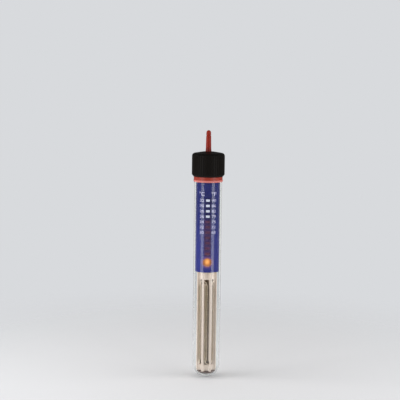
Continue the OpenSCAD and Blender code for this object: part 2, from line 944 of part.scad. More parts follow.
// A bowed leaf that stands on the lever and bears on the bimetal
module bias_spring() {
  foot_y = lever_y + lever_t / 2;
  bow = spring_bow_y - foot_y;
  leaf_r = (spring_half_h * spring_half_h + bow * bow) / (2 * bow);
  leaf_h = lever_bottom_h + spring_half_h + 0.6;
  color("gainsboro")
    from_tip()
      intersection() {
        difference() {
          rod_x(2, leaf_r, spring_bow_y - leaf_r, leaf_h);
          rod_x(4, leaf_r - 0.2, spring_bow_y - leaf_r, leaf_h);
        }
        block([-2, foot_y, leaf_h - 5], [2, spring_bow_y + 1, leaf_h + 5]);
      }
}

module bimetal_strip() {
  color("darkkhaki")
    from_tip()
      difference() {
        block([-bimetal_w / 2, bimetal_y, bimetal_bottom_h],
              [bimetal_w / 2, bimetal_y + bimetal_t, bimetal_top_h]);
        rod_y(bimetal_y - 1, bimetal_y + 2, 0.95, 0, bimetal_pivot_h + 0.4);
      }
}

module moving_contact() {
  color("silver")
    from_tip() rod_y(fixed_contact_face_y + contact_gap, bimetal_y, contact_r, 0, contact_h);
}

module snap_armature() {
  color("slategray")
    from_tip()
      block([-2, magnet_face_y + magnet_gap, magnet_bottom_h - 0.3],
            [2, bimetal_y, magnet_bottom_h + 3.3]);
}

// ---------------------------------------------------------------- nodes

echo(least_coil_gap_mm = least_gap(coil_path, rings_per_curl / 2 + 1));  // heating_coil

glass_tube();
mouth_seal();
cap_shell();
cord_gland();
head_plug();
shaft_o_ring();
o_ring_washer();
plug_terminals();
scale_sleeve();
scale_backing();
lower_red_strip();
chassis_frame();
screw_bracket();
bracket_rivets();
contact_bracket();
fixed_contact();
snap_magnet();
bimetal_bracket();
bimetal_screw();
lever_bracket();
lever_pin();
neon_lamp();
lamp_electrodes();
lamp_resistor();
suppressor_capacitor();
heat_shield();
upper_insulator();
ceramic_core();
lower_insulator();
heating_coil();
coil_terminals();
tie_rod();
tie_rod_nuts();
buffer_ring();
contact_wire();
neutral_wire();
live_wire();
adjuster_knob();
lead_screw();
shaft_clip();
indicator_carriage();
indicator_flag();
bias_lever();
bias_spring();
bimetal_strip();
moving_contact();
snap_armature();
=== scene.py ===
"""Submersible aquarium heater: finishes, smooth glass, fine coil, printed scale and studio for
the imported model.

Lengths are in millimetres until they reach Blender, and heights count from the glass tip.
The scale faces -Y.
"""
import json
import math

import bmesh
import bpy
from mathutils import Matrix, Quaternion, Vector


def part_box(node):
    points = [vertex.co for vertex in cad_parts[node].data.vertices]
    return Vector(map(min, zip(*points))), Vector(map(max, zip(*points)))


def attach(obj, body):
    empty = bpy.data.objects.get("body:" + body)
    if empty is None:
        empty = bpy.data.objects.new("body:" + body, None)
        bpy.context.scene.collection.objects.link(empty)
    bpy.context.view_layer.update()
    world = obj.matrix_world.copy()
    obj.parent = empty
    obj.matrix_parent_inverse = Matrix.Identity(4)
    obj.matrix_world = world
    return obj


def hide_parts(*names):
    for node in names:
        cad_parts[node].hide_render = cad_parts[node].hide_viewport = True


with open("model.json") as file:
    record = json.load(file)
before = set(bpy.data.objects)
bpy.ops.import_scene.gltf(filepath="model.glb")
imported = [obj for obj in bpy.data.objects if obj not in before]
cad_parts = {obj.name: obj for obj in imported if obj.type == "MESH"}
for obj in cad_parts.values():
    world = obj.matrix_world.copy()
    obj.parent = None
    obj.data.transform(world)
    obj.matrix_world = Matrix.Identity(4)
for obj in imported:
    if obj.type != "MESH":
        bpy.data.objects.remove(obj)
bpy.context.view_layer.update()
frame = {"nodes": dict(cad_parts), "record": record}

MM = 0.001
TIP_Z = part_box("glass_tube")[0].z


def place(x, y, h):
    """A point in metres from its place in millimetres, with its height above the glass tip."""
    return Vector((x * MM, y * MM, TIP_Z + h * MM))


def rgb(red, green, blue):
    """A colour for a shader from its 0-255 screen values."""
    def linear(value):
        value /= 255
        return value / 12.92 if value <= 0.04045 else ((value + 0.055) / 1.055) ** 2.4
    return (linear(red), linear(green), linear(blue), 1)


def outward(angle):
    """The level direction out from the tube's axis, at an angle in radians from the front."""
    return Vector((math.sin(angle), -math.cos(angle), 0))


DARK = rgb(0, 0, 0)


# ---------------------------------------------------------------- dimensions

# Names that end in _H are heights, _R radii, _W widths, and _X and _Y places across and in depth.

GLASS_R = 11
GLASS_WALL = 1.2
GLASS_SIDES = 128
NECK_R = 10.6
SHOULDER_H = 159.3
SHOULDER_EASE_R = 0.05
SHOULDER_EASE_H = 0.1
MOUTH_H = 170
# Distance of the ring of edges that stands near each end of a long wall
RING_GAP = 0.8

SLEEVE_R = 9.6
SLEEVE_BOTTOM_H = 87.4
SEAM_X = 0.6
TOP_WINDOW_H = 145.1
WINDOW_PITCH = 4.25
WINDOW_W = 3.5
LAMP_H = 95.6
LAMP_WINDOW_R = 3.4
# Half widths of the white strip: its painted glow lies inside the first, and its painted edge shade
# is full beyond the second
STRIP_LIT_X = 1.2
STRIP_DARK_X = 1.65
FLAG_W = 7
FLAG_TOP_H = 129.6

CAPACITOR_H = 96.2
BIMETAL_MIDDLE_Y = 7.65

CAP_R = 13.05
CAP_TOP_H = 183.3
GROOVE_DEPTH = 0.35
STEM_TOP_H = 200

CORE_R = 8.15
FLUTES = 8
FLUTE_BED_R = 4.75
WOUND_BOTTOM_H = 10.7

# Degrees about the tube's axis: the core's turn, and how far the coil lies beside each flute
CORE_TURN = 1
COIL_LEAN = -5.5
# The wire starts in this flute, counted from the front, and swells over this many turns
FIRST_FLUTE = 4
SWELL_TURNS = 3
COIL_AT_R = 6.6
COIL_OUTER_R = 1.3
FINE_WIRE_R = 0.25
TURNS_PER_FLUTE = 72
POINTS_PER_TURN = 12
RUN_TOP_H = 78.6
RUN_BOTTOM_H = 12.9
COIL_END_H = 80.8
HOP_RISE = 1.1


# ---------------------------------------------------------------- shader maths

class Signal:
    """A socket that carries a number, so that shader maths reads as plain sums."""

    def __init__(self, nodes, socket):
        self.nodes = nodes
        self.socket = socket

    def _maths(self, operation, first, second=0.0, clamp=False):
        return self.nodes.node("Math", {"operation": operation, "use_clamp": clamp},
                               {0: first, 1: second})

    def __add__(self, other):
        return self._maths("ADD", self, other)

    def __sub__(self, other):
        return self._maths("SUBTRACT", self, other)

    def __rsub__(self, other):
        return self._maths("SUBTRACT", other, self)

    def __mul__(self, other):
        return self._maths("MULTIPLY", self, other)

    def __pow__(self, other):
        return self._maths("POWER", self, other)

    def __abs__(self):
        return self._maths("ABSOLUTE", self)

    def clamped(self):
        """The number held between 0 and 1."""
        return self._maths("ADD", self, 0.0, clamp=True)

    def beside(self, name):
        """Another output of the node that this socket belongs to."""
        return Signal(self.nodes, self.socket.node.outputs[name])

    __radd__ = __add__
    __rmul__ = __mul__


class Nodes:
    """The node tree of a material or of the world."""

    def __init__(self, owner):
        owner.use_nodes = True
        self.tree = owner.node_tree
        self.tree.nodes.clear()

    def node(self, kind, settings=None, inputs=None, output=0):
        """Adds a node with its settings and inputs, and gives one of its outputs."""
        made = self.tree.nodes.new("ShaderNode" + kind)
        for key, value in (settings or {}).items():
            if key == "stops":
                ramp = made.color_ramp
                while len(ramp.elements) < len(value):
                    ramp.elements.new(1)
                for element, (position, colour) in zip(ramp.elements, value):
                    element.position = position
                    element.color = colour
            else:
                setattr(made, key, value)
        for key, value in (inputs or {}).items():
            if isinstance(value, Signal):
                self.tree.links.new(value.socket, made.inputs[key])
            else:
                made.inputs[key].default_value = value
        return Signal(self, made.outputs[output]) if len(made.outputs) else None


class Finish(Nodes):
    """A material in the making, with its pattern space in millimetres."""

    def __init__(self, name):
        self.material = bpy.data.materials.new(name)
        super().__init__(self.material)
        metres = self.node("TexCoord", output="Object")
        from_tip = self.node("VectorMath", {"operation": "SUBTRACT"}, {
            0: metres, 1: (0, 0, TIP_Z)})
        self.spot = self.node("VectorMath", {"operation": "SCALE"}, {
            0: from_tip, "Scale": 1 / MM})
        self.x = self.node("SeparateXYZ", inputs={0: self.spot})
        self.y = self.x.beside("Y")
        self.h = self.x.beside("Z")
        self.radius = (self.x * self.x + self.y * self.y) ** 0.5

    def stretched(self, x, y, h):
        """Pattern space drawn out or squeezed along each axis."""
        return self.node("VectorMath", {"operation": "MULTIPLY"}, {0: self.spot, 1: (x, y, h)})

    def noise(self, per_mm, detail=2.0, roughness=0.5, space=None):
        """Cloudy noise with so many features to the millimetre."""
        return self.node("TexNoise", inputs={
            "Vector": space or self.spot, "Scale": per_mm, "Detail": detail,
            "Roughness": roughness})

    def cells(self, per_mm):
        """Rounded cells, so many to the millimetre."""
        return self.node("TexVoronoi", inputs={"Vector": self.spot, "Scale": per_mm})

    def band(self, value, start, end):
        """0 before start and 1 after end, with a soft step between them."""
        return self.node("MapRange", {"interpolation_type": "SMOOTHSTEP"}, {
            "Value": value, "From Min": start, "From Max": end})

    def mix(self, factor, first, second):
        return self.node("Mix", {"data_type": "RGBA"}, {0: factor, 6: first, 7: second}, output=2)

    def away_from(self, centre_h, squash=1.0):
        """Distance, seen from the front, from a point on the tube's axis."""
        high = self.h - centre_h
        return (self.x * self.x + high * high * squash) ** 0.5

    def lamp_glow(self, reach, colour):
        """Warm light of the pilot lamp on what stands near it, spent at a reach in millimetres."""
        return self.mix(self.band(self.away_from(LAMP_H), LAMP_WINDOW_R - 0.6, reach), colour, DARK)

    def bump(self, height, depth, under=None):
        """Surface relief of a depth in millimetres, over an earlier relief."""
        inputs = {"Height": height, "Distance": depth * MM, "Strength": 1.0}
        if under:
            inputs["Normal"] = under
        return self.node("Bump", inputs=inputs)

    def principled(self, **sockets):
        return self.node("BsdfPrincipled", inputs={
            key.replace("_", " "): value for key, value in sockets.items()})

    def close(self, shader):
        self.node("OutputMaterial", inputs={"Surface": shader})
        return self.material

    def surface(self, **sockets):
        return self.close(self.principled(**sockets))


# ---------------------------------------------------------------- families of finishes

def metal(name, colour, tarnish, roughness, drawn=(1, 1, 1)):
    """Plated or bare metal with fine lines, drawn out along an axis, and dull patches."""
    f = Finish(name)
    lines = f.noise(9, 3, 0.6, f.stretched(*drawn))
    patches = f.band(f.noise(0.35, 4), 0.42, 0.68)
    return f.surface(
        Base_Color=f.mix(patches * 0.7 + lines * 0.2, colour, tarnish),
        Metallic=1.0,
        Roughness=roughness + 0.16 * patches + 0.12 * lines,
        Normal=f.bump(lines, 0.008))


def moulding(name, colour, shade, roughness):
    """Injection-moulded plastic: slow flow shading, fine grain and a few scuffs."""
    f = Finish(name)
    flow = f.noise(0.18, 3)
    grain = f.noise(7, 2)
    scuffs = f.band(f.noise(1.6, 4, 0.7, f.stretched(1, 1, 0.2)), 0.6, 0.75)
    return f.surface(
        Base_Color=f.mix(flow * 0.6 + grain * 0.25, colour, shade),
        Roughness=roughness + 0.1 * grain + 0.12 * scuffs,
        Normal=f.bump(grain, 0.012))


def rubber(name, colour, bloom, roughness):
    """Rubber with a pale bloom in patches and a matt, slightly pitted skin."""
    f = Finish(name)
    patches = f.band(f.noise(0.7, 4, 0.6), 0.45, 0.75)
    pits = f.cells(5)
    return f.surface(
        Base_Color=f.mix(patches * 0.5, colour, bloom),
        Roughness=roughness + 0.15 * patches,
        Normal=f.bump(pits, 0.01))


def insulation(name, colour, shade):
    """Extruded wire sleeve: faint rings, handling marks and a satin skin."""
    f = Finish(name)
    rings = f.noise(4, 2, 0.5, f.stretched(0.3, 0.3, 2))
    marks = f.band(f.noise(1.1, 3), 0.5, 0.8)
    return f.surface(
        Base_Color=f.mix(0.35 * rings + 0.4 * marks, colour, shade),
        Roughness=0.42 + 0.15 * rings,
        Normal=f.bump(rings, 0.015))


# ---------------------------------------------------------------- glass, seal and cap

def clear_glass():
    """Drawn borosilicate tube: long faint draw lines and a few smears on a polished skin. Lamp
    light and diffuse rays pass straight through, so that what it holds is lit."""
    f = Finish("clear_glass")
    draw_lines = f.noise(1.2, 2, 0.5, f.stretched(1, 1, 0.03))
    smears = f.band(f.noise(0.12, 3, 0.6), 0.5, 0.8)
    glass = f.principled(
        Base_Color=f.mix(smears * 0.5, rgb(252, 254, 253), rgb(247, 250, 250)),
        Roughness=0.005 + 0.03 * smears,
        IOR=1.47,
        Transmission_Weight=1.0,
        Normal=f.bump(draw_lines, 0.002))
    clear = f.node("BsdfTransparent", inputs={"Color": (0.97, 0.98, 0.98, 1)})
    shadow = f.node("LightPath", output="Is Shadow Ray")
    lamps_pass = f.node("MixShader", inputs={0: shadow, 1: glass, 2: clear})
    diffuse = shadow.beside("Is Diffuse Ray")
    return f.close(f.node("MixShader", inputs={0: diffuse, 1: lamps_pass, 2: clear}))


def red_silicone():
    """Brick-red silicone with a painted highlight, pale pink, on its lower bead, and a soft sheen.
    """
    f = Finish("red_silicone")
    # Painted highlight: the lower bead is painted pale pink.
    bead_highlight = 1 - f.band(f.h, SHOULDER_H + 0.9, SHOULDER_H + 1.9)
    mottle = f.noise(0.9, 4)
    grain = f.noise(5, 2)
    body = f.mix(mottle, rgb(158, 58, 42), rgb(132, 40, 28))
    return f.surface(
        Base_Color=f.mix(bead_highlight * 0.9, body, rgb(208, 126, 120)),
        Roughness=0.22 + 0.12 * grain,
        Subsurface_Weight=0.15,
        Subsurface_Radius=(1.0, 0.3, 0.2),
        Subsurface_Scale=0.8 * MM,
        Normal=f.bump(grain, 0.01))


def black_cap():
    """Black moulded cap: polished rib crests, dustier grooves and a fine grain."""
    f = Finish("black_cap")
    crest = f.band(f.radius, CAP_R - GROOVE_DEPTH, CAP_R - 0.05)
    on_dome = f.band(f.h, CAP_TOP_H - 4, CAP_TOP_H - 2.5)
    dust = f.noise(0.5, 4, 0.6)
    grain = f.noise(6, 2)
    groove_dust = (1 - crest) * (1 - on_dome) * dust
    colour = f.mix(crest * 0.35 + groove_dust * 0.5, rgb(12, 10, 8), rgb(28, 23, 19))
    return f.surface(
        Base_Color=f.mix(0.25 * grain, colour, rgb(9, 8, 7)),
        Roughness=0.4 + 0.22 * groove_dust + 0.14 * grain - 0.08 * crest,
        Specular_IOR_Level=0.14,
        Normal=f.bump(grain, 0.012))


def red_knob():
    """Brick-red moulded stem with painted shade where it leaves the cap, and fingertip wear at the
    tip.
    """
    f = Finish("red_knob")
    # Painted shade: the stem is darkened where it leaves the cap.
    painted_base_shade = 1 - f.band(f.h, CAP_TOP_H - 0.5, CAP_TOP_H + 4.5)
    wear = f.band(f.h, STEM_TOP_H - 7, STEM_TOP_H) * f.band(f.noise(1.3, 4), 0.45, 0.7)
    grain = f.noise(6, 2)
    flow = f.noise(0.4, 2, 0.5, f.stretched(1, 1, 0.4))
    body = f.mix(flow, rgb(137, 30, 11), rgb(119, 24, 9))
    body = f.mix(painted_base_shade * 0.75, body, rgb(80, 18, 14))
    return f.surface(
        Base_Color=f.mix(wear * 0.35, body, rgb(180, 70, 44)),
        Roughness=0.3 + 0.12 * grain + 0.12 * wear,
        Specular_IOR_Level=0.28,
        Normal=f.bump(grain, 0.01))


# ---------------------------------------------------------------- scale

def blue_film():
    """Printed film: navy that turns bluer downwards, a dark column along the windows that is
    maroon below the flag's top, a paper-white inside, a glued seam at the back and the pilot
    lamp's glow round its window."""
    f = Finish("blue_film")
    grain = f.noise(5, 3, 0.6)
    drift = f.noise(0.15, 2)
    lower = 1 - f.band(f.h, SLEEVE_BOTTOM_H + 12, TOP_WINDOW_H)
    ink = f.mix(lower, rgb(26, 32, 104), rgb(40, 46, 132))
    ink = f.mix(0.3 * drift + 0.15 * grain, ink, rgb(18, 22, 84))
    front = 1 - f.band(f.y, -4, -3)
    column = 1 - f.band(abs(f.x), WINDOW_W / 2 + 0.6, WINDOW_W / 2 + 1.3)
    below_top = 1 - f.band(f.h, TOP_WINDOW_H + 1.6, TOP_WINDOW_H + 2.4)
    lamp_edge_h = LAMP_H + LAMP_WINDOW_R
    above_lamp = f.band(f.h, lamp_edge_h + 0.2, lamp_edge_h + 2.2)
    column = column * front * below_top * above_lamp
    maroon = 1 - f.band(f.h, FLAG_TOP_H - 3, FLAG_TOP_H + 3)
    column_ink = f.mix(maroon, rgb(24, 22, 78), rgb(66, 42, 84))
    ink = f.mix(column * 0.9, ink, column_ink)
    back = f.band(f.y, 4, 6)
    seam = back * (1 - f.band(abs(f.x - SEAM_X), 0.1, 0.25))
    ink = f.mix(seam * 0.7, ink, rgb(12, 14, 60))
    inside = 1 - f.band(f.radius, SLEEVE_R - 0.35, SLEEVE_R - 0.2)
    paper = f.mix(grain, rgb(206, 206, 214), rgb(188, 188, 200))
    overlap = back * f.band(f.x, SEAM_X - 0.1, SEAM_X + 0.1)
    return f.surface(
        Base_Color=f.mix(inside, ink, paper),
        Roughness=0.2 + 0.08 * grain + 0.25 * inside,
        Emission_Color=f.mix(front, DARK, f.lamp_glow(5.6, rgb(128, 78, 44))),
        Emission_Strength=1.0,
        Normal=f.bump(overlap, 0.08, f.bump(grain, 0.0006)))


def white_strip():
    """White plastic strip with painted light: it glows along its middle to stand in for light that
    comes in through the windows, and its edges carry painted shade.
    """
    f = Finish("white_strip")
    grain = f.noise(4, 3)
    colour = f.mix(grain * 0.5, rgb(236, 239, 255), rgb(222, 225, 246))
    # Painted shade on the strip's edges, as if the sleeve shaded them.
    edge = f.band(abs(f.x), STRIP_LIT_X, STRIP_DARK_X)
    colour = f.mix(edge, colour, rgb(52, 52, 98))
    return f.surface(
        Base_Color=colour,
        Roughness=0.42 + 0.15 * grain,
        # Painted light: the middle of the strip glows.
        Emission_Color=f.mix(edge, colour, DARK),
        Emission_Strength=0.6,
        Normal=f.bump(grain, 0.006))


def scale_print():
    """Pale screen print with a dry, uneven lay-down of ink."""
    f = Finish("scale_print")
    dry = f.noise(3, 4, 0.7)
    return f.surface(
        Base_Color=f.mix(dry, rgb(214, 210, 238), rgb(180, 176, 214)),
        Roughness=0.45 + 0.2 * dry,
        Normal=f.bump(dry, 0.004))


def red_strip():
    """Faded, mauve-red strip, streaked along its length."""
    f = Finish("red_strip")
    streaks = f.noise(2.5, 3, 0.6, f.stretched(1, 1, 0.15))
    return f.surface(
        Base_Color=f.mix(streaks, rgb(200, 118, 176), rgb(166, 92, 148)),
        Roughness=0.5 + 0.15 * streaks,
        Normal=f.bump(streaks, 0.006))


def red_flag():
    """Painted indicator flag, worn paler along its edges."""
    f = Finish("red_flag")
    brush = f.noise(3, 3, 0.6, f.stretched(1, 1, 0.3))
    edge = f.band(abs(f.x), FLAG_W / 2 - 0.6, FLAG_W / 2 - 0.1)
    paint = f.mix(brush, rgb(152, 84, 130), rgb(120, 62, 108))
    return f.surface(
        Base_Color=f.mix(edge * 0.6, paint, rgb(176, 110, 136)),
        Roughness=0.46 + 0.15 * brush,
        Normal=f.bump(brush, 0.008))


# ---------------------------------------------------------------- lamp and circuit

def lamp_glass():
    """Neon bulb with its glow strongest round the upright electrodes."""
    f = Finish("lamp_glass")
    rim = f.band(f.away_from(LAMP_H, squash=0.7), 0.2, 2.8)
    flicker = f.noise(1.5, 2)
    glow = f.node("ValToRGB", {"stops": [
        (0.0, rgb(255, 188, 108)), (0.4, rgb(246, 168, 88)), (0.75, rgb(214, 136, 78)),
        (1.0, rgb(172, 112, 74))]}, {0: rim + 0.12 * (flicker - 0.5)})
    return f.surface(
        Base_Color=f.mix(rim, rgb(150, 84, 44), rgb(110, 70, 46)),
        Roughness=0.22 + 0.1 * flicker,
        IOR=1.45,
        Emission_Color=glow,
        Emission_Strength=0.9,
        Normal=f.bump(flicker, 0.01))


def lamp_resistor():
    """Carbon-film resistor: a tan body with four colour bands."""
    f = Finish("lamp_resistor")
    grain = f.noise(5, 3)
    colour = f.mix(grain * 0.5, rgb(206, 178, 134), rgb(182, 152, 110))
    inks_at_heights = {
        92.6: rgb(120, 66, 30),
        93.7: rgb(28, 26, 26),
        94.8: rgb(206, 186, 60),
        96.2: rgb(178, 142, 60)}
    for band_h, ink in inks_at_heights.items():
        on_band = 1 - f.band(abs(f.h - band_h), 0.2, 0.3)
        colour = f.mix(on_band, colour, ink)
    return f.surface(
        Base_Color=colour,
        Roughness=0.34 + 0.12 * grain,
        Normal=f.bump(grain, 0.01))


def capacitor():
    """Dipped ceramic disc, darker where the dip ran thin at the rim."""
    f = Finish("capacitor")
    rim = f.band(f.away_from(CAPACITOR_H), 1.6, 2.6)
    dimples = f.noise(2, 3)
    return f.surface(
        Base_Color=f.mix(rim * 0.7 + dimples * 0.2, rgb(196, 112, 52), rgb(128, 66, 32)),
        Roughness=0.3 + 0.15 * dimples,
        Normal=f.bump(dimples, 0.03))


def frame_board():
    """Phenolic cloth board: crossed threads under brown resin."""
    f = Finish("frame_board")
    threads = [f.node("TexWave", {"bands_direction": axis}, {
        "Vector": f.spot, "Scale": 1.1, "Distortion": 0.6, "Detail": 1.0}, output="Fac")
        for axis in "XZ"]
    weave = (threads[0] + threads[1]) * 0.5
    resin = f.noise(0.5, 4)
    return f.surface(
        Base_Color=f.mix(weave * 0.5 + resin * 0.4, rgb(206, 184, 140), rgb(164, 136, 92)),
        Roughness=0.4 + 0.2 * weave,
        Emission_Color=f.lamp_glow(8, rgb(150, 96, 58)),
        Emission_Strength=1.0,
        Normal=f.bump(weave, 0.03))


def ferrite():
    """Sintered ferrite: dark grey and grainy, with a fine sparkle."""
    f = Finish("ferrite")
    grains = f.cells(9)
    sparkle = f.band(f.noise(14, 2), 0.62, 0.7)
    return f.surface(
        Base_Color=f.mix(sparkle * 0.6, rgb(52, 52, 56), rgb(120, 120, 126)),
        Metallic=0.3 * sparkle,
        Roughness=0.62 - 0.25 * sparkle,
        Normal=f.bump(grains, 0.02))


# ---------------------------------------------------------------- heating element

def white_ceramic():
    """Unglazed cordierite: warm white and speckled, duller on its outer faces, with painted shade
    in warm brown at the bottom of the wound flutes."""
    f = Finish("white_ceramic")
    wound = f.band(f.h, WOUND_BOTTOM_H, WOUND_BOTTOM_H + 0.4)
    wound = wound * (1 - f.band(f.h, COIL_END_H - 0.4, COIL_END_H))
    # Painted shade: the bottom of each wound flute is painted brown.
    painted_flute_shade = wound * (1 - f.band(f.radius, FLUTE_BED_R + 0.1, FLUTE_BED_R + 1.5))
    handled = f.band(f.radius, CORE_R - 0.35, CORE_R - 0.15)
    speckle = f.band(f.noise(4.5, 3, 0.6), 0.58, 0.72)
    clouds = f.noise(0.3, 4)
    pores = f.noise(6, 4, 0.7)
    body = f.mix(clouds, rgb(244, 229, 218), rgb(232, 216, 204))
    body = f.mix(handled * 0.8, body, rgb(206, 188, 176))
    body = f.mix(painted_flute_shade, body, rgb(80, 58, 32))
    return f.surface(
        Base_Color=f.mix(speckle * 0.18, body, rgb(176, 150, 122)),
        Roughness=0.7 + 0.16 * pores,
        Normal=f.bump(pores, 0.03))


def resistance_wire():
    """Nickel-chrome wire, pale, with a thick olive oxide on the outer side of its turns."""
    f = Finish("resistance_wire")
    clouds = f.noise(0.6, 3)
    lines = f.noise(6, 2, 0.5, f.stretched(1, 1, 3))
    skin = f.mix(clouds, rgb(246, 232, 214), rgb(226, 207, 182))
    oxide = f.band(f.radius, COIL_AT_R + 0.6, COIL_AT_R + 1.15)
    return f.surface(
        Base_Color=f.mix(oxide * 0.8, skin, rgb(138, 116, 80)),
        Roughness=0.42 + 0.15 * lines,
        Normal=f.bump(lines, 0.006))


def mica():
    """Mica disc: amber flakes in overlapping layers."""
    f = Finish("mica")
    flakes = f.cells(0.8)
    layers = f.noise(1.4, 4, 0.6, f.stretched(1, 1, 6))
    return f.surface(
        Base_Color=f.mix(flakes * 0.6 + layers * 0.3, rgb(214, 196, 150), rgb(160, 134, 88)),
        Roughness=0.28 + 0.25 * layers,
        Normal=f.bump(layers, 0.02))


def bimetal():
    """Two rolled metals, bronze on one face and steel on the other."""
    f = Finish("bimetal")
    outer_half = f.band(f.y, BIMETAL_MIDDLE_Y - 0.01, BIMETAL_MIDDLE_Y + 0.01)
    rolled = f.noise(7, 3, 0.6, f.stretched(1, 1, 0.1))
    face = f.mix(outer_half, rgb(190, 152, 102), rgb(168, 168, 164))
    return f.surface(
        Base_Color=f.mix(rolled * 0.3, face, rgb(116, 104, 86)),
        Metallic=1.0,
        Roughness=0.32 + 0.18 * rolled,
        Normal=f.bump(rolled, 0.008))


STEEL = rgb(206, 206, 202)
STEEL_DULL = rgb(150, 150, 146)

finishes = {
    "clear_glass": clear_glass(),
    "red_silicone": red_silicone(),
    "black_cap": black_cap(),
    "black_rubber": rubber("black_rubber", rgb(26, 25, 25), rgb(60, 58, 56), 0.6),
    "ivory_plastic": moulding("ivory_plastic", rgb(232, 226, 208), rgb(208, 198, 174), 0.42),
    "steel": metal("steel", STEEL, STEEL_DULL, 0.26, (1, 1, 0.2)),
    "brass": metal("brass", rgb(220, 188, 122), rgb(160, 124, 70), 0.26, (1, 1, 0.3)),
    "blue_film": blue_film(),
    "white_strip": white_strip(),
    "red_strip": red_strip(),
    "frame_board": frame_board(),
    "copper_alloy": metal("copper_alloy", rgb(222, 166, 120), rgb(150, 96, 64), 0.3, (1, 0.2, 1)),
    "silver": metal("silver", rgb(232, 230, 226), rgb(170, 164, 150), 0.18),
    "ferrite": ferrite(),
    "lamp_glass": lamp_glass(),
    "lamp_resistor": lamp_resistor(),
    "capacitor": capacitor(),
    "mica": mica(),
    "white_ceramic": white_ceramic(),
    "resistance_wire": resistance_wire(),
    "dark_rubber": rubber("dark_rubber", rgb(74, 48, 40), rgb(116, 92, 76), 0.62),
    "cream_insulation": insulation("cream_insulation", rgb(236, 222, 186), rgb(204, 184, 142)),
    "blue_insulation": insulation("blue_insulation", rgb(84, 128, 196), rgb(56, 92, 152)),
    "brown_insulation": insulation("brown_insulation", rgb(122, 78, 52), rgb(84, 52, 36)),
    "red_knob": red_knob(),
    "white_nylon": moulding("white_nylon", rgb(240, 238, 232), rgb(216, 212, 202), 0.44),
    "red_flag": red_flag(),
    "spring_steel": metal("spring_steel", rgb(184, 186, 190), rgb(110, 116, 130), 0.2, (0.2, 1, 1)),
    "bimetal": bimetal(),
}

for part in frame["record"]["subparts"]:
    solid = frame["nodes"][part["node"]].data
    solid.materials.clear()
    solid.materials.append(finishes[part["material_slot"]])


# ---------------------------------------------------------------- pieces

# Points closer together than these count as one
TURNED_MERGE = 0.002
LINE_MERGE = 0.0005
CUT_MERGE = 0.0001


def add_piece(name, bm, finish, body="heater_body", crease=40):
    """Makes a mesh into a piece that rides on a body, with edges sharper than crease kept hard."""
    for face in bm.faces:
        face.smooth = True
    for edge in bm.edges:
        edge.smooth = edge.calc_face_angle(0) < math.radians(crease)
    mesh = bpy.data.meshes.new(name)
    bm.to_mesh(mesh)
    bm.free()
    mesh.materials.append(finish)
    piece = bpy.data.objects.new(name, mesh)
    bpy.context.scene.collection.objects.link(piece)
    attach(piece, body)
    return piece


def turned(outline, sides):
    """A solid of revolution about the tube's axis from an outline of radii and heights."""
    bm = bmesh.new()
    rim = [bm.verts.new(place(r, 0, h)) for r, h in outline]
    edges = [bm.edges.new(pair) for pair in zip(rim, rim[1:])]
    bmesh.ops.spin(bm, geom=rim + edges, axis=(0, 0, 1), cent=(0, 0, 0), dvec=(0, 0, 0),
                   angle=2 * math.pi, steps=sides, use_merge=True, use_duplicate=False)
    bmesh.ops.remove_doubles(bm, verts=bm.verts, dist=TURNED_MERGE * MM)
    bmesh.ops.recalc_face_normals(bm, faces=bm.faces)
    return bm


def quarter(r, centre_h, steps):
    """Radii and heights of a quarter circle from the axis out to its side."""
    angles = [math.pi / 2 * i / steps for i in range(steps + 1)]
    return [(r * math.sin(angle), centre_h - r * math.cos(angle)) for angle in angles]


def glass_outline():
    """Outside, neck and bore of the tube. A ring near each end of its long walls keeps their
    shading straight."""
    bore_r = GLASS_R - GLASS_WALL
    outside = quarter(GLASS_R, GLASS_R, steps=28) + [(GLASS_R, GLASS_R + RING_GAP)]
    inside = quarter(bore_r, GLASS_R, steps=24) + [(bore_r, GLASS_R + RING_GAP)]
    under_h = SHOULDER_H - SHOULDER_EASE_H
    neck = [(GLASS_R, under_h - RING_GAP), (GLASS_R, under_h),
            (GLASS_R - SHOULDER_EASE_R, SHOULDER_H), (NECK_R, SHOULDER_H), (NECK_R, MOUTH_H),
            (bore_r, MOUTH_H), (bore_r, MOUTH_H - RING_GAP)]
    return outside + neck + inside[::-1]


def coil_route():
    """Points of the wire from one terminal down and up the flutes in turn to the other. Each run
    of turns swells from a straight wire and back, and hops to the next flute in an arc."""
    curl_r = COIL_OUTER_R - FINE_WIRE_R

    def run_angle(k):
        return math.radians(CORE_TURN + COIL_LEAN + 360 / FLUTES * (FIRST_FLUTE + k))

    def end_point(k, h):
        spot = COIL_AT_R * outward(run_angle(k))
        return place(spot.x, spot.y, h)

    route = [end_point(0, COIL_END_H)]
    for k in range(FLUTES):
        downwards = k % 2 == 0
        start_h, end_h = (RUN_TOP_H, RUN_BOTTOM_H) if downwards else (RUN_BOTTOM_H, RUN_TOP_H)
        angle = run_angle(k)
        out = outward(angle)
        beside = Vector((math.cos(angle), math.sin(angle), 0))
        steps = TURNS_PER_FLUTE * POINTS_PER_TURN
        for i in range(steps + 1):
            t = i / steps
            phase = 2 * math.pi * TURNS_PER_FLUTE * t * (1 if downwards else -1)
            swell = min(1, TURNS_PER_FLUTE / SWELL_TURNS * min(t, 1 - t))
            spot = (COIL_AT_R * out
                    + swell * curl_r * (math.cos(phase) * out + math.sin(phase) * beside))
            route.append(place(spot.x, spot.y, start_h + t * (end_h - start_h)))
        if k < FLUTES - 1:
            for i in range(1, POINTS_PER_TURN):
                s = i / POINTS_PER_TURN
                spot = COIL_AT_R * outward(angle + s * 2 * math.pi / FLUTES)
                rise = HOP_RISE * math.sin(math.pi * s) * (-1 if downwards else 1)
                route.append(place(spot.x, spot.y, end_h + rise))
    route.append(end_point(FLUTES - 1, COIL_END_H))
    return route


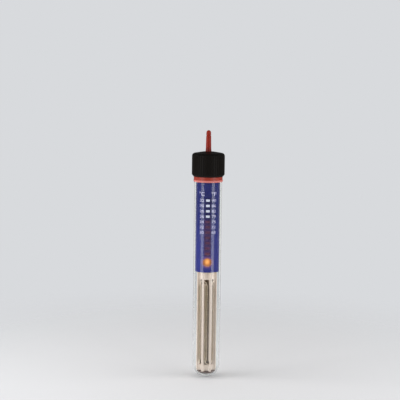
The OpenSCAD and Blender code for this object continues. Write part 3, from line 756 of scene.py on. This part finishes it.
def wire_along(name, route, wire_r):
    """A round wire along a route, as a bmesh."""
    curve = bpy.data.curves.new(name, "CURVE")
    curve.dimensions = "3D"
    curve.bevel_depth = wire_r * MM
    curve.bevel_resolution = 1
    curve.use_fill_caps = True
    spline = curve.splines.new("POLY")
    spline.points.add(len(route) - 1)
    for point, spot in zip(spline.points, route):
        point.co = (*spot, 1)
    return mesh_of(name, curve)


def mesh_of(name, curve):
    """A curve or a text as a bmesh."""
    holder = bpy.data.objects.new(name + "_line", curve)
    bpy.context.scene.collection.objects.link(holder)
    settled = holder.evaluated_get(bpy.context.evaluated_depsgraph_get())
    mesh = bpy.data.meshes.new_from_object(settled)
    bm = bmesh.new()
    bm.from_mesh(mesh)
    bpy.data.objects.remove(holder)
    bpy.data.meshes.remove(mesh)
    bmesh.ops.remove_doubles(bm, verts=bm.verts, dist=LINE_MERGE * MM)
    return bm


PRINT_LIFT = 0.012
PRINT_THICK = 0.03
PRINT_FACET_W = 0.4


def printed(words, wide, tall, arc, centre_h):
    """A word in print, wrapped round the sleeve. Its middle lies at an arc length from the
    front, and it is cut into narrow upright strips so that it can bend."""
    text = bpy.data.curves.new("word", "FONT")
    text.body = words
    text.extrude = 0.5
    bm = mesh_of("word", text)
    low = Vector([min(v.co[i] for v in bm.verts) for i in range(3)])
    high = Vector([max(v.co[i] for v in bm.verts) for i in range(3)])
    size = high - low
    bmesh.ops.translate(bm, verts=bm.verts, vec=-(low + high) / 2)
    bmesh.ops.scale(bm, verts=bm.verts, vec=(wide / size.x, tall / size.y, PRINT_THICK / size.z))
    strips = int(wide / PRINT_FACET_W)
    for i in range(1, strips):
        bmesh.ops.bisect_plane(bm, geom=bm.verts[:] + bm.edges[:] + bm.faces[:],
                               plane_co=(-wide / 2 + i * wide / strips, 0, 0),
                               plane_no=(1, 0, 0), dist=CUT_MERGE)
    ink_r = SLEEVE_R + PRINT_LIFT + PRINT_THICK / 2
    for v in bm.verts:
        angle = (arc + v.co.x) / SLEEVE_R
        r = ink_r + v.co.z
        v.co = place(r * math.sin(angle), -r * math.cos(angle), centre_h + v.co.y)
    return bm


def joined(meshes):
    """Several bmeshes as one."""
    whole = bmesh.new()
    for bm in meshes:
        part_mesh = bpy.data.meshes.new("part")
        bm.to_mesh(part_mesh)
        bm.free()
        whole.from_mesh(part_mesh)
        bpy.data.meshes.remove(part_mesh)
    return whole


glass = add_piece("smooth_glass_tube", turned(glass_outline(), GLASS_SIDES),
                  finishes["clear_glass"])
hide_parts("glass_tube")

coil = add_piece("fine_heating_coil", wire_along("coil", coil_route(), FINE_WIRE_R),
                 finishes["resistance_wire"], crease=80)
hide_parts("heating_coil")

# The printed scale: a column of numbers on each side of the windows, and a unit mark over each.
# The record has no slot for print.
LEFT = -1
RIGHT = 1
COLUMN_ARC = 4.75
NUMBER_WIDE = 3.5
NUMBER_TALL = 2.1
UNIT_TALL = 3.1
UNIT_H = 150.3

ink = scale_print()
for name, side, values in (
        ("celsius_numbers", LEFT, (32, 30, 28, 26, 24, 22, 20)),
        ("fahrenheit_numbers", RIGHT, (90, 86, 82, 79, 75, 72, 68))):
    rows = [printed(str(value), NUMBER_WIDE, NUMBER_TALL, side * COLUMN_ARC,
                    TOP_WINDOW_H - row * WINDOW_PITCH)
            for row, value in enumerate(values)]
    add_piece(name, joined(rows), ink, crease=30)

units = [printed(mark, wide, UNIT_TALL, side * COLUMN_ARC, UNIT_H)
         for mark, wide, side in (("°C", 4.3, LEFT), ("°F", 4.0, RIGHT))]
add_piece("unit_marks", joined(units), ink, crease=30)


# ---------------------------------------------------------------- studio

# Width of the view at the heater, the lens and its sensor, and angles in degrees
FRAME_WIDE = 318.8
LENS = 90
SENSOR = 36
ELEVATION = 7
ROLL = 0.66
AIM = place(-6.3, 0, 144.3)

camera_data = bpy.data.cameras.new("camera")
camera_data.lens = LENS
camera_data.sensor_width = SENSOR
camera = bpy.data.objects.new("camera", camera_data)
bpy.context.scene.collection.objects.link(camera)
tilt = math.radians(ELEVATION)
towards_camera = Vector((0, -math.cos(tilt), math.sin(tilt)))
camera.location = AIM + towards_camera * FRAME_WIDE * MM * LENS / SENSOR
camera.rotation_mode = "QUATERNION"
camera.rotation_quaternion = ((-towards_camera).to_track_quat("-Z", "Y")
                              @ Quaternion((0, 0, 1), math.radians(ROLL)))
bpy.context.scene.camera = camera

# Lamps: width, height, and height of the middle above the frame's origin
STRIP = (200, 700, 120)
FILL = (300, 500, 150)
LAMP_AWAY = 450


def tall_lamp(name, shape, azimuth, energy, mirrored):
    """A tall soft lamp that stands round the heater and faces its axis, at degrees from the
    front and with an energy in watts. One that isn't mirrored shows in no glass."""
    wide, tall, middle = (length * MM for length in shape)
    lamp = bpy.data.lights.new(name, "AREA")
    lamp.shape = "RECTANGLE"
    lamp.size = wide
    lamp.size_y = tall
    lamp.energy = energy
    holder = bpy.data.objects.new(name, lamp)
    bpy.context.scene.collection.objects.link(holder)
    out = outward(math.radians(azimuth))
    holder.location = LAMP_AWAY * MM * out + Vector((0, 0, middle))
    holder.rotation_mode = "QUATERNION"
    holder.rotation_quaternion = (-out).to_track_quat("-Z", "Y")
    holder.visible_camera = False
    holder.visible_glossy = mirrored
    holder.visible_transmission = mirrored


tall_lamp("left_strip", STRIP, -47, 0.6, mirrored=True)
tall_lamp("right_strip", STRIP, 47, 0.6, mirrored=True)
tall_lamp("left_fill", FILL, -80, 2.0, mirrored=False)
tall_lamp("right_fill", FILL, 80, 1.3, mirrored=False)

# How bright the room is for diffuse rays and for mirrored ones. A mirrored ray that then leaves
# through glass meets it brighter towards the back, and dark after three surfaces of glass.
ROOM = 0.55
MIRRORED = 0.14
THROUGH_TO_FRONT = 0.25
THROUGH_TO_BACK = 0.85
FROM_INSIDE = 0.05
PALE = rgb(216, 218, 221)


def studio_world():
    """A pale backdrop for what is seen straight or through the glass, and a darker room for
    mirrored rays, so that the glass shows its edges."""
    world = bpy.data.worlds.new("studio")
    w = Nodes(world)
    direction = w.node("TexCoord", output="Generated")
    backward = w.node("SeparateXYZ", inputs={0: direction}, output="Y")
    behind = w.node("MapRange", {"interpolation_type": "SMOOTHSTEP"}, {
        "Value": backward, "From Min": 0.1, "From Max": 0.7,
        "To Min": THROUGH_TO_FRONT, "To Max": THROUGH_TO_BACK})
    straight = w.node("LightPath", output="Is Camera Ray")
    glossy = straight.beside("Is Glossy Ray")
    crossed = straight.beside("Is Transmission Ray")
    mirrored = straight.beside("Glossy Depth").clamped()
    from_inside = mirrored * (straight.beside("Transmission Depth") - 2).clamped()
    seen = (straight + crossed * (1 - mirrored)).clamped()
    bounced = (glossy - crossed).clamped()
    through = behind + from_inside * (FROM_INSIDE - behind)
    strength = ROOM + bounced * (MIRRORED - ROOM) + crossed * (through - ROOM)
    room = w.node("Background", inputs={"Color": (1, 1, 1, 1), "Strength": strength})
    backdrop = w.node("Background", inputs={"Color": PALE, "Strength": 1.0})
    w.node("OutputWorld", inputs={
        "Surface": w.node("MixShader", inputs={0: seen, 1: room, 2: backdrop})})
    return world


bpy.context.scene.world = studio_world()

FLOOR_R = 450
FLOOR_SIDES = 96


def floor_finish():
    """A pale matt floor that fades out with distance and lets the view from below through."""
    f = Finish("floor")
    grain = f.noise(0.8, 3)
    matt = f.principled(Base_Color=f.mix(grain, rgb(226, 226, 227), rgb(220, 220, 222)),
                        Roughness=0.8 + 0.1 * grain)
    gone = f.node("BsdfTransparent")
    below = f.node("NewGeometry", output="Backfacing")
    faded = f.band(f.radius, 60, 0.8 * FLOOR_R)
    return f.close(f.node("MixShader", inputs={
        0: (faded + below).clamped(), 1: matt, 2: gone}))


disc = bmesh.new()
bmesh.ops.create_circle(disc, cap_ends=True, radius=FLOOR_R * MM, segments=FLOOR_SIDES)
bmesh.ops.translate(disc, verts=disc.verts, vec=place(0, 0, 0))
floor_mesh = bpy.data.meshes.new("floor")
disc.to_mesh(floor_mesh)
disc.free()
floor_mesh.materials.append(floor_finish())
floor = bpy.data.objects.new("floor", floor_mesh)
bpy.context.scene.collection.objects.link(floor)

bpy.context.scene.view_settings.view_transform = "Standard"
